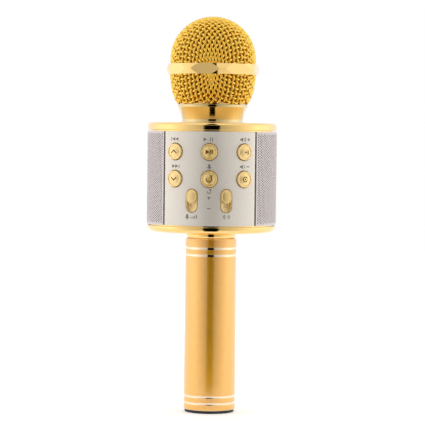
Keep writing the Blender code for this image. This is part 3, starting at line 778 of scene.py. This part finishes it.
def make_buttons():
    """Round plated keys: a soft rim round a slightly domed face with an engraved symbol."""
    top = 1.2 * MM
    step_z = top - 0.35 * MM
    stem_r, flange_r, rim_r, face_r = 1.5 * MM, 5.8 * MM, 4.2 * MM, 3.7 * MM
    back, flange_back, flange_front = -5.0 * MM, -3.5 * MM, -2.7 * MM
    crown, sag = 0.5 * MM, 0.85 * MM
    symbol_floor, symbol_top = top - 0.4 * MM, top + 1.0 * MM
    outline = rounded([
        (0.0, back), (stem_r, back), (stem_r, flange_back), (flange_r, flange_back),
        (flange_r, flange_front), (BUTTON_R, flange_front), (BUTTON_R, top, 0.4 * MM),
        (rim_r, top, 0.15 * MM), (rim_r - 0.2 * MM, step_z, 0.1 * MM), (face_r, step_z),
    ], 5)
    steps = 8
    for step in range(1, steps + 1):
        share = 1 - step / steps
        outline.append((face_r * share, top + crown - sag * share ** 2, 0))
    symbols = button_symbols()
    for name, azimuth, height in button_places():
        place = on_drum(azimuth, height)
        piece = add_piece("key_" + name, turned(outline, 72), ["brushed_gold", "shaded_engraving"], place, 35.0)
        cutters = [prism(scaled(shape, MM), symbol_floor, symbol_top) for shape in symbols[name]]
        # The cut's faces take the darker engraving material: painted shade in the engraved symbols.
        carve(piece, cutters, place, cut_finish=1)
        mount_piece(piece, "key_" + name, "gold_chrome", "button_" + name)


def make_sliders():
    """Plated trays with a slit, and knobs whose shutter behind the tray keeps the slit covered.

    Sections are half width, half height and distance from the drum's surface, in millimetres.
    """
    tray_sections = (
        (3.4, 6.9, -1.9), (3.4, 6.9, -0.05), (3.3, 6.8, 0.08), (3.1, 6.6, 0.08), (3.0, 6.5, -0.05),
        (2.95, 6.45, -1.25), (2.7, 6.2, -1.4), (1.2, 4.1, -1.4), (1.2, 4.1, -1.9),
    )
    shutter = (2.0, 7.4)        # long enough to cover the slit over the whole travel
    stem = (0.9, 1.1)
    knob_sections = (
        (*stem, -5.4), (*stem, -2.7), (*shutter, -2.7), (*shutter, -2.1), (*stem, -2.1), (*stem, -1.1),
        (2.7, 3.6, -1.1), (2.7, 3.6, 0.35), (3.05, 3.95, 0.35), (3.2, 4.1, 0.5), (3.2, 4.1, 0.95),
        (3.1, 4.0, 1.2), (2.85, 3.75, 1.32), (2.6, 3.5, 1.28), (2.45, 3.35, 1.2), (2.0, 2.9, 1.3),
        (1.0, 1.9, 1.42),
    )
    tray, knob = ([(stadium(x * MM, y * MM), z * MM) for x, y, z in sections]
                  for sections in (tray_sections, knob_sections))
    for side, azimuth, height in slider_places():
        place = on_drum(azimuth, height)
        piece = add_piece("tray_" + side, loft(tray, closed=True), ["brushed_gold"], place, 35.0)
        mount_piece(piece, "housing", "gold_chrome", "slider_tray_" + side)
        place = on_drum(azimuth, height + SLIDER_TRAVEL / 2)
        piece = add_piece("slide_" + side, loft(knob), ["brushed_gold"], place, 35.0)
        mount_piece(piece, "slider_" + side, "gold_chrome", "slider_knob_" + side)


def print_mark(name, shapes, azimuth, height):
    """Thin printed shapes that follow the panel's curve, from flat outlines in millimetres."""
    thickness = 0.03 * MM
    mesh = joined([prism(scaled(shape, MM), 0.0, thickness) for shape in shapes])
    for vertex in mesh.vertices:
        x, y, lift = vertex.co
        vertex.co = outward(azimuth + math.degrees(x / DRUM_R)) * (DRUM_R + lift)
        vertex.co.z = height + y
    mount_piece(add_piece(name, mesh, ["ink"]), "housing", "black_plastic")


def shifted(shapes, x, y=0.0, factor=1.0):
    return [[(px * factor + x, py * factor + y) for px, py in shape] for shape in shapes]


def make_marks():
    """Plus and minus signs between the slide controls, and a small plain pictogram by each control."""
    right_arrow = [[(-0.8, -0.8), (0.8, 0.0), (-0.8, 0.8)]]
    left_arrow = [scaled(shape, -1.0) for shape in right_arrow]
    upright = [bar((0.0, -0.8), (0.0, 0.8), 0.16)]
    plus = [bar((-0.95, 0.0), (0.95, 0.0), 0.26), bar((0.0, 0.27), (0.0, 0.95), 0.26),
            bar((0.0, -0.95), (0.0, -0.27), 0.26)]
    minus = [bar((-1.1, 0.0), (1.1, 0.0), 0.26)]
    horn = [[(-1.3, -0.4), (-0.7, -0.4), (0.1, -1.0), (0.1, 1.0), (-0.7, 0.4), (-1.3, 0.4)]]
    waves = [arc_band(radius, 0.15, -40.0, 40.0, 6) for radius in (0.9, 1.5)]
    capsule = [stadium(0.5, 0.9, 16), arc_band(0.95, 0.13, 200.0, 340.0, 8),
               bar((0.0, -1.5), (0.0, -1.05), 0.13)]
    loop = [arc_band(0.75, 0.15, -200.0, 60.0, 10), [(0.0, 1.25), (0.8, 0.45), (1.1, 1.15)]]
    steps = [bar((0.8 * number, -0.8), (0.8 * number, 0.35 * number - 0.3), 0.2) for number in range(4)]
    small_plus, small_minus = (shifted(sign, 0.0, 0.0, 0.75) for sign in (plus, minus))
    pictogram_size = 1.35
    top_z, bottom_z = (middle("button_centre_" + row).z for row in ("top", "bottom"))
    slider_z = slider_places()[0][2]
    label = 7.6 * MM            # from the middle of a key to the pictogram over or under it
    above_top, above_bottom, below_bottom = top_z + label, bottom_z + label, bottom_z - label
    below_sliders = slider_z - 9.6 * MM
    marks = {
        "plus": (plus, 0.0, slider_z + 1.8 * MM),
        "minus": (minus, 0.0, slider_z - 4.6 * MM),
        "previous": (shifted(left_arrow, -0.9) + shifted(left_arrow, 0.8) + shifted(upright, -2.1),
                     -SIDE_BUTTON_ANGLE, above_top),
        "play": (shifted(right_arrow, -1.9) + shifted(upright, 0.4, 0.0, 1.1)
                 + shifted(upright, 1.3, 0.0, 1.1), 0.0, above_top),
        "louder": (shifted(horn, -0.8) + shifted(waves, -0.8) + shifted(small_plus, 2.2),
                   SIDE_BUTTON_ANGLE, above_top),
        "next": (shifted(right_arrow, -0.8) + shifted(right_arrow, 0.9) + shifted(upright, 2.1),
                 -SIDE_BUTTON_ANGLE, above_bottom),
        "microphone": (shifted(capsule, 0.0, 0.2), 0.0, above_bottom),
        "quieter": (shifted(horn, -0.8) + shifted(waves[:1], -0.8) + shifted(small_minus, 1.9),
                    SIDE_BUTTON_ANGLE, above_bottom),
        "replay": (loop, 0.0, below_bottom),
        "microphone_level": (shifted(capsule, -2.0, 0.2) + steps, -SLIDER_ANGLE, below_sliders),
        "echo": (shifted(waves, -2.0) + waves, SLIDER_ANGLE, below_sliders),
    }
    for name, (shapes, azimuth, height) in marks.items():
        size = 1.0 if name in ("plus", "minus") else pictogram_size
        print_mark("mark_" + name, shifted(shapes, 0.0, 0.0, size), azimuth, height)


# ---------------------------------------------------------------- neck

def make_neck():
    """Flared neck on a small foot ring, with a spigot through the top cap and a seat for the insert."""
    bottom, top = high("top_cap").z + GAP, low("grille_collar").z - GAP
    foot_r, flange_r = 18.6 * MM, reach("neck")
    ring_r, ring_top = foot_r + 0.5 * MM, bottom + 0.35 * MM
    bore, spigot_r, seat_r, thread_r = 8.0 * MM, 10.0 * MM, 14.5 * MM, 17.5 * MM
    spigot_bottom, thread_top = low("neck").z, high("neck").z
    seat = low("capsule_holder").z - GAP
    start, control = (foot_r + 0.1 * MM, bottom + 0.7 * MM), (foot_r + 1.1 * MM, bottom + 5.4 * MM)
    outline = [(bore, spigot_bottom), (spigot_r, spigot_bottom), (spigot_r, bottom)]
    outline += [(ring_r, bottom, 0.1 * MM), (ring_r, ring_top, 0.15 * MM)]
    outline += curve_points(start, control, (flange_r, top - 1.2 * MM), 14)
    outline += [(flange_r, top, 0.25 * MM), (thread_r, top), (thread_r, thread_top)]
    outline += [(seat_r, thread_top), (seat_r, seat), (bore, seat)]
    # The neck takes the darkened copy of the plating, which is painted shade.
    piece = add_piece("neck_flare", turned(rounded(outline), 224), ["neck_painted_shade_plating"])
    mount_piece(piece, "housing", "gold_chrome", "neck")


# ---------------------------------------------------------------- ball

class TurnedSheet:
    """Surface of revolution, measured by the distance along it from its pole on the axis."""

    def __init__(self, profile):
        points = np.array(profile)
        lengths = np.hypot(*np.diff(points, axis=0).T)
        self.travel = np.concatenate([[0.0], np.cumsum(lengths)])
        self.radius, self.height = points.T
        self.length = self.travel[-1]

    def profile_at(self, travel):
        """Radius and height at a distance from the pole."""
        return np.array([np.interp(travel, self.travel, values) for values in (self.radius, self.height)])

    def point(self, travel, azimuth):
        radius, height = self.profile_at(travel)
        return np.array([radius * math.sin(azimuth), -radius * math.cos(azimuth), height])

    def locate(self, point):
        """Nearest (travel, azimuth) to a point close to the sheet."""
        radius = math.hypot(point[0], point[1])
        distance = (self.radius - radius) ** 2 + (self.height - point[2]) ** 2
        return self.travel[int(np.argmin(distance))], math.atan2(point[0], -point[1])

    def normal(self, travel, azimuth):
        reach_out = 1e-4
        ahead = max(min(travel + reach_out, self.length), 2 * reach_out)
        dr, dz = self.profile_at(ahead) - self.profile_at(ahead - 2 * reach_out)
        return np.array([-dz * math.sin(azimuth), dz * math.cos(azimuth), dr]) / math.hypot(dr, dz)


def woven_crossings(sheet, pitch, count):
    """Crossings of a square-woven cloth drawn over the sheet, in the quarter between two wires.

    The two wires through the pole follow meridians; every other crossing lies one pitch from the
    two before it, which is how a woven sheet shears when it is pressed into a bowl.
    """
    quarter = math.pi / 4
    net = {(i, 0): (i * pitch, -quarter) for i in range(count)}
    net.update({(0, j): (j * pitch, quarter) for j in range(count)})
    for total in range(2, 2 * count):
        for i in range(1, min(total, count)):
            j = total - i
            if j < 1 or j >= count or (i - 1, j) not in net or (i, j - 1) not in net:
                continue
            one = sheet.point(*net[i - 1, j])
            other = sheet.point(*net[i, j - 1])
            before = sheet.point(*net[i - 1, j - 1])
            travel, azimuth = sheet.locate(one + other - before)
            solved = solve_crossing(sheet, one, other, pitch, travel, azimuth)
            if solved is not None:
                net[i, j] = solved
    return net


def solve_crossing(sheet, one, other, pitch, travel, azimuth):
    """Point of the sheet that lies one pitch from both given points, by Newton's method."""
    close_enough, small_s, small_a, largest_turn = 1e-7, 1e-5, 1e-4, 0.3
    for _ in range(20):
        if not 0.0 < travel < sheet.length:
            return None

        def miss(s, a):
            point = sheet.point(s, a)
            return np.array([np.linalg.norm(point - one) - pitch, np.linalg.norm(point - other) - pitch])

        error = miss(travel, azimuth)
        if np.abs(error).max() < close_enough:
            return travel, azimuth
        slope = np.column_stack([
            (miss(travel + small_s, azimuth) - error) / small_s,
            (miss(travel, azimuth + small_a) - error) / small_a,
        ])
        change = np.linalg.lstsq(slope, -error, rcond=None)[0]
        travel += float(np.clip(change[0], -pitch / 2, pitch / 2))
        azimuth += float(np.clip(change[1], -largest_turn, largest_turn))
    return None


def whole_net(quarter_net):
    """The quarter net turned to all four quarters, keyed by signed wire numbers."""
    net = {}
    for (i, j), (travel, azimuth) in quarter_net.items():
        keys = [(i, j), (-j, i), (-i, -j), (j, -i)]
        for turn, key in enumerate(keys):
            net[key] = (travel, azimuth + turn * math.pi / 2)
    return net


def wire_runs(net, along):
    """Unbroken runs of crossings along each wire of one family."""
    lines = {}
    for key in net:
        lines.setdefault(key[1 - along], []).append(key)
    for keys in lines.values():
        keys.sort(key=lambda key: key[along])
        run = [keys[0]]
        for key in keys[1:]:
            if key[along] == run[-1][along] + 1:
                run.append(key)
                continue
            yield run
            run = [key]
        yield run


def wire_centreline(sheet, net, run, along, substeps=5):
    """Smooth centreline that rises over and dips under the crossing wires."""
    if len(run) < 2:
        return []
    swing = 0.92 * WIRE_R
    base = [sheet.point(*net[key]) for key in run]
    normals = [sheet.normal(*net[key]) for key in run]
    sign = 1 if along == 0 else -1
    base = [2 * base[0] - base[1], *base, 2 * base[-1] - base[-2]]
    normals = [normals[0], *normals, normals[-1]]
    points = []
    for index in range(1, len(base) - 2):
        p0, p1, p2, p3 = base[index - 1:index + 3]
        key = run[index - 1]
        over = sign * (1 if (key[0] + key[1]) % 2 == 0 else -1)
        last = index == len(base) - 3
        for step in range(substeps + (1 if last else 0)):
            t = step / substeps
            centre = 0.5 * (2 * p1 + (p2 - p0) * t + (2 * p0 - 5 * p1 + 4 * p2 - p3) * t * t
                            + (3 * p1 - p0 - 3 * p2 + p3) * t ** 3)
            normal = normals[index] * (1 - t) + normals[index + 1] * t
            normal = normal / np.linalg.norm(normal)
            points.append((centre + normal * (over * swing * math.cos(math.pi * t)), normal))
    return points


def kept_stretches(centreline, keep):
    """Parts of a centreline that remain where the sheet isn't cut away, each an unbroken run."""
    stretch = []
    for point, normal in centreline:
        if keep(point):
            stretch.append((point, normal))
        elif stretch:
            yield stretch
            stretch = []
    if stretch:
        yield stretch


def sweep_tube(centreline, vertices, faces):
    """Append a closed round wire along (point, normal) pairs."""
    first = len(vertices)
    count = len(centreline)
    for index, (point, normal) in enumerate(centreline):
        ahead = centreline[min(index + 1, count - 1)][0]
        behind = centreline[max(index - 1, 0)][0]
        tangent = (ahead - behind) / np.linalg.norm(ahead - behind)
        side = np.cross(tangent, normal)
        side /= np.linalg.norm(side)
        up = np.cross(side, tangent)
        for step in range(WIRE_SIDES):
            angle = math.tau * (step + 0.5) / WIRE_SIDES
            vertices.append(point + WIRE_R * (math.cos(angle) * up + math.sin(angle) * side))
    for index in range(count - 1):
        here = first + index * WIRE_SIDES
        above = here + WIRE_SIDES
        for step in range(WIRE_SIDES):
            beside = (step + 1) % WIRE_SIDES
            faces.append((here + step, here + beside, above + beside, above + step))
    last = first + (count - 1) * WIRE_SIDES
    faces.append(tuple(range(first, first + WIRE_SIDES))[::-1])
    faces.append(tuple(range(last, last + WIRE_SIDES)))


def weave(name, profile, keep):
    """Woven wires over a turned profile, cut away where a point of theirs isn't kept."""
    sheet = TurnedSheet(profile)
    net = whole_net(woven_crossings(sheet, WIRE_PITCH, NET_COUNT))
    vertices, faces = [], []
    for along in (0, 1):
        for run in wire_runs(net, along):
            for stretch in kept_stretches(wire_centreline(sheet, net, run, along), keep):
                if len(stretch) > 2:
                    sweep_tube(stretch, vertices, faces)
    mesh = bpy.data.meshes.new(name)
    mesh.from_pydata([tuple(vertex) for vertex in vertices], [], faces)
    mesh.update()
    return add_piece(name, mesh, ["wire_gold"], sharp=60.0)


def make_dome():
    """Upper grille: half a ball and a short straight part, whose wires end inside the ring."""
    outer_r = reach("grille_dome")
    centre_z = high("grille_dome").z - outer_r
    radius = outer_r - 2 * WIRE_R
    arc_steps, straight_steps = 180, 60
    angles = [math.pi / 2 * step / arc_steps for step in range(arc_steps + 1)]
    profile = [(radius * math.sin(angle), centre_z + radius * math.cos(angle)) for angle in angles]
    profile += [(radius, centre_z - PROFILE_STEP * step) for step in range(1, straight_steps + 1)]
    cut = high("grille_ring").z - WIRE_TUCK
    piece = weave("dome_weave", profile, lambda point: point[2] > cut)
    mount_piece(piece, "ball", "gold_mesh", "grille_dome")


def make_bowl():
    """Lower grille: its sheet's pole is under the neck, where the sheet is cut away."""
    flat_z = low("grille_collar").z + 1.2 * MM
    top = low("grille_ring").z
    wall_r = reach("grille_bowl") - 1.75 * WIRE_R
    corners = rounded([
        (0.0, flat_z), (21.2 * MM, flat_z, 1.5 * MM), (22.6 * MM, flat_z + 3.0 * MM, 6.0 * MM),
        (24.2 * MM, flat_z + 7.7 * MM, 14.0 * MM), (wall_r, top, 2.0 * MM), (wall_r, top + 12 * MM),
    ], 24, closed=False)
    profile = []
    for (r0, z0, _), (r1, z1, _) in zip(corners, corners[1:]):
        pieces = max(1, int(math.hypot(r1 - r0, z1 - z0) / PROFILE_STEP))
        profile += [(r0 + (r1 - r0) * k / pieces, z0 + (z1 - z0) * k / pieces) for k in range(pieces)]
    cut_top = top + WIRE_TUCK
    rim_r = 20.5 * MM
    piece = weave("bowl_weave", profile, lambda point: point[2] < cut_top and math.hypot(*point[:2]) > rim_r)
    mount_piece(piece, "ball", "gold_mesh", "grille_bowl")


def make_ring():
    """Turned ring with a ridge at mid height, milled with eight flats, which come out six-sided."""
    low_z, high_z = low("grille_ring").z, high("grille_ring").z
    flats, first_flat, flat_r, bore = 8, -8.2, 27.4 * MM, 25.5 * MM
    edge_half, ridge_half = 8.0, 18.0      # half of a flat's width in degrees, at an edge and at the ridge
    edge_r, ridge_r, corner_r = (
        flat_r / math.cos(math.radians(half)) for half in (edge_half, ridge_half, 180.0 / flats)
    )
    outline = rounded([
        (bore, low_z), (edge_r, low_z, 0.08 * MM), (ridge_r, (low_z + high_z) / 2, 0.15 * MM),
        (edge_r, high_z, 0.08 * MM), (bore, high_z),
    ], 4)
    piece = add_piece("facet_ring", turned(outline, 256), ["plated_gold"])
    corners = [outward(first_flat + 360.0 / flats * (number + 0.5)) * corner_r for number in range(flats)]
    block = prism([(corner.x, corner.y) for corner in corners], low_z - 2 * MM, high_z + 2 * MM)
    carve(piece, [block], operation="INTERSECT", sharp=5.0)
    mount_piece(piece, "ball", "ring_metal", "grille_ring")


def make_ball_collar():
    """Ring at the ball's mouth: a thin flange under the weave and a plain sleeve inside it."""
    bottom, top = low("grille_collar").z, high("grille_collar").z
    bore, flange_r, sleeve_r = 17.9 * MM, 20.4 * MM, 19.3 * MM
    flange = bottom + 0.9 * MM
    outline = rounded([
        (bore, bottom), (flange_r, bottom, 0.2 * MM), (flange_r, flange, 0.3 * MM),
        (sleeve_r, flange), (sleeve_r, top), (bore, top),
    ])
    piece = add_piece("ball_collar", turned(outline), ["plated_gold"])
    mount_piece(piece, "ball", "gold_chrome", "grille_collar")


def make_foam():
    """Foam liner with an uneven cut surface, open at the bottom and clear of the wires."""
    low_z = low("foam_windscreen").z
    centre_z = high("grille_dome").z - reach("grille_dome")
    radius, pad, unevenness = 23.4 * MM, 2.6 * MM, 0.12
    wall = ((21.3 * MM, low_z + 0.3 * MM), (22.2 * MM, low_z + 3.2 * MM), (23.0 * MM, low_z + 8.0 * MM),
            (radius, centre_z - 4.0 * MM))
    steps = 24
    angles = [math.pi / 2 * step / steps for step in range(steps)]

    def skin(inset):
        """Outline from the mouth to the pole, moved inward by an inset."""
        ball_r = radius - inset
        side = [(r - inset, z) for r, z in wall]
        crown = [(ball_r * math.cos(angle), centre_z + ball_r * math.sin(angle)) for angle in angles]
        return side + crown + [(0.0, centre_z + ball_r)]

    mesh = turned([(r, z, 0) for r, z in skin(0.0) + skin(pad)[::-1]], 96)
    noise = np.random.default_rng(11)
    for vertex in mesh.vertices:
        if vertex.co.xy.length > 1 * MM:
            vertex.co += vertex.co.normalized() * float(noise.uniform(-unevenness, unevenness)) * MM
    piece = add_piece("foam_liner", mesh, ["foam"], sharp=180.0)
    mount_piece(piece, "ball_lift", "foam", "foam_windscreen")


# ---------------------------------------------------------------- inner parts that stay as CAD

INNER_SLOTS = ("steel", "brass", "grey_plastic", "black_plastic", "circuit_board", "paper_cone", "magnet",
               "battery_wrap", "red_wire", "black_wire")


def finish_inner_parts():
    """CAD nodes that stay take the material that has their slot's name."""
    for entry in frame["record"]["subparts"]:
        node, slot = frame["nodes"][entry["node"]], entry["material_slot"]
        if node.hide_render or slot not in INNER_SLOTS:
            continue
        for material_slot in node.material_slots:
            material_slot.material = MATERIALS[slot]


# ---------------------------------------------------------------- studio

def make_floor():
    """Pale matt table, faintly lit from inside; it ends a little in front of the microphone."""
    front, back, half_width = -0.12, 1.8, 1.0
    level = -0.05 * MM
    corners = [(-half_width, front), (half_width, front), (half_width, back), (-half_width, back)]
    mesh = bpy.data.meshes.new("floor")
    mesh.from_pydata([(x, y, level) for x, y in corners], [], [(0, 1, 2, 3)])
    mesh.materials.append(grained(
        "floor_paper", ((0.87, 0.87, 0.87), (0.90, 0.90, 0.90)), (6.0,), (40.0,), (0.75, 0.9),
        Emission_Strength=0.30, Emission_Color=(1.0, 1.0, 1.0, 1.0)))
    floor = bpy.data.objects.new("floor", mesh)
    bpy.context.scene.collection.objects.link(floor)


def make_studio_light():
    """Broad soft light from both sides, dimmer in front, with a small dark gap where the lens stands
    and another over it. What the camera sees directly is plain white.
    """
    world = bpy.data.worlds.new("studio")
    bpy.context.scene.world = world
    world.use_nodes = True
    tree = world.node_tree
    tree.nodes.clear()
    link = tree.links.new

    def node(kind):
        return tree.nodes.new("ShaderNode" + kind)

    def calculate(operation, *values):
        made = node("Math")
        made.operation = operation
        for socket, value in zip(made.inputs, values):
            if isinstance(value, (int, float)):
                socket.default_value = value
            else:
                link(value, socket)
        return made.outputs[0]

    def times(one, other):
        return calculate("MULTIPLY", one, other)

    def one_less(share):
        return calculate("SUBTRACT", 1.0, share)

    def turned_from(degrees):
        """How far a direction's azimuth is from the given one, to either side."""
        return calculate("ABSOLUTE", calculate("SUBTRACT", azimuth, math.radians(degrees)))

    def fade(source, full, none):
        """One up to an angle in degrees, then falling smoothly to nothing at another."""
        made = node("MapRange")
        made.interpolation_type = "SMOOTHSTEP"
        names = ("From Min", "From Max", "To Min", "To Max")
        for name, value in zip(names, (math.radians(full), math.radians(none), 1.0, 0.0)):
            made.inputs[name].default_value = value
        link(source, made.inputs["Value"])
        return made.outputs["Result"]

    direction = node("SeparateXYZ")
    link(node("TexCoord").outputs["Generated"], direction.inputs["Vector"])
    x, y, z = direction.outputs
    azimuth = calculate("ARCTAN2", x, times(y, -1.0))
    elevation = calculate("ARCSINE", z)

    ramp = node("ValToRGB")
    levels = ((0, 0.52), (12, 0.58), (24, 0.74), (48, 1.08), (64, 1.35), (84, 1.75), (107, 1.7), (142, 1.3),
              (180, 1.2))
    brightest = max(level for _, level in levels)
    while len(ramp.color_ramp.elements) < len(levels):
        ramp.color_ramp.elements.new(0.5)
    for element, (degrees, level) in zip(ramp.color_ramp.elements, levels):
        element.position = degrees / 180
        element.color = (*[level / brightest] * 3, 1.0)
    link(calculate("DIVIDE", turned_from(5.0), math.pi), ramp.inputs["Fac"])
    sides = times(ramp.outputs["Color"], brightest)
    overhead = one_less(fade(calculate("ABSOLUTE", elevation), 12.0, 45.0))
    level = calculate("ADD", times(sides, one_less(overhead)), times(overhead, 1.25))

    aside = turned_from(1.5)
    gap = times(fade(aside, 12.5, 16.5), fade(elevation, 16.0, 22.0))
    gap = times(gap, fade(times(elevation, -1.0), 52.0, 62.0))
    overhang = times(fade(aside, 9.0, 14.0), one_less(fade(elevation, 26.0, 33.0)))
    gap = calculate("MAXIMUM", gap, times(overhang, fade(elevation, 78.0, 84.0)))
    glow, backdrop, mix = node("Background"), node("Background"), node("MixShader")
    link(times(level, one_less(gap)), glow.inputs["Strength"])
    backdrop.inputs["Color"].default_value = (1.0, 1.0, 1.0, 1.0)
    link(node("LightPath").outputs["Is Camera Ray"], mix.inputs["Fac"])
    link(glow.outputs[0], mix.inputs[1])
    link(backdrop.outputs[0], mix.inputs[2])
    link(mix.outputs[0], node("OutputWorld").inputs["Surface"])
    bpy.context.scene.view_settings.view_transform = "Standard"


def make_camera():
    """Level with the drum's top and slightly to its right, looking a little down."""
    distance = 1.361
    azimuth = 2.3
    eye_height = 0.175
    aim = Vector((0.0007, 0.0, 0.1236))
    roll = math.radians(0.67)
    data = bpy.data.cameras.new("camera")
    data.lens = 186.0
    data.sensor_width = 36.0
    data.clip_start = 0.05
    camera = bpy.data.objects.new("camera", data)
    bpy.context.scene.collection.objects.link(camera)
    eye = outward(azimuth) * distance
    eye.z = eye_height
    rotation = (aim - eye).to_track_quat("-Z", "Y").to_matrix().to_4x4()
    camera.matrix_world = Matrix.Translation(eye) @ rotation @ Matrix.Rotation(roll, 4, "Z")
    bpy.context.scene.camera = camera


make_camera()
make_foot()
make_handle()
make_handle_collar()
make_top_cap()
make_bottom_cap()
make_sleeve()
make_panel()
make_buttons()
make_sliders()
make_marks()
make_neck()
make_dome()
make_bowl()
make_ring()
make_ball_collar()
make_foam()
finish_inner_parts()
make_floor()
make_studio_light()
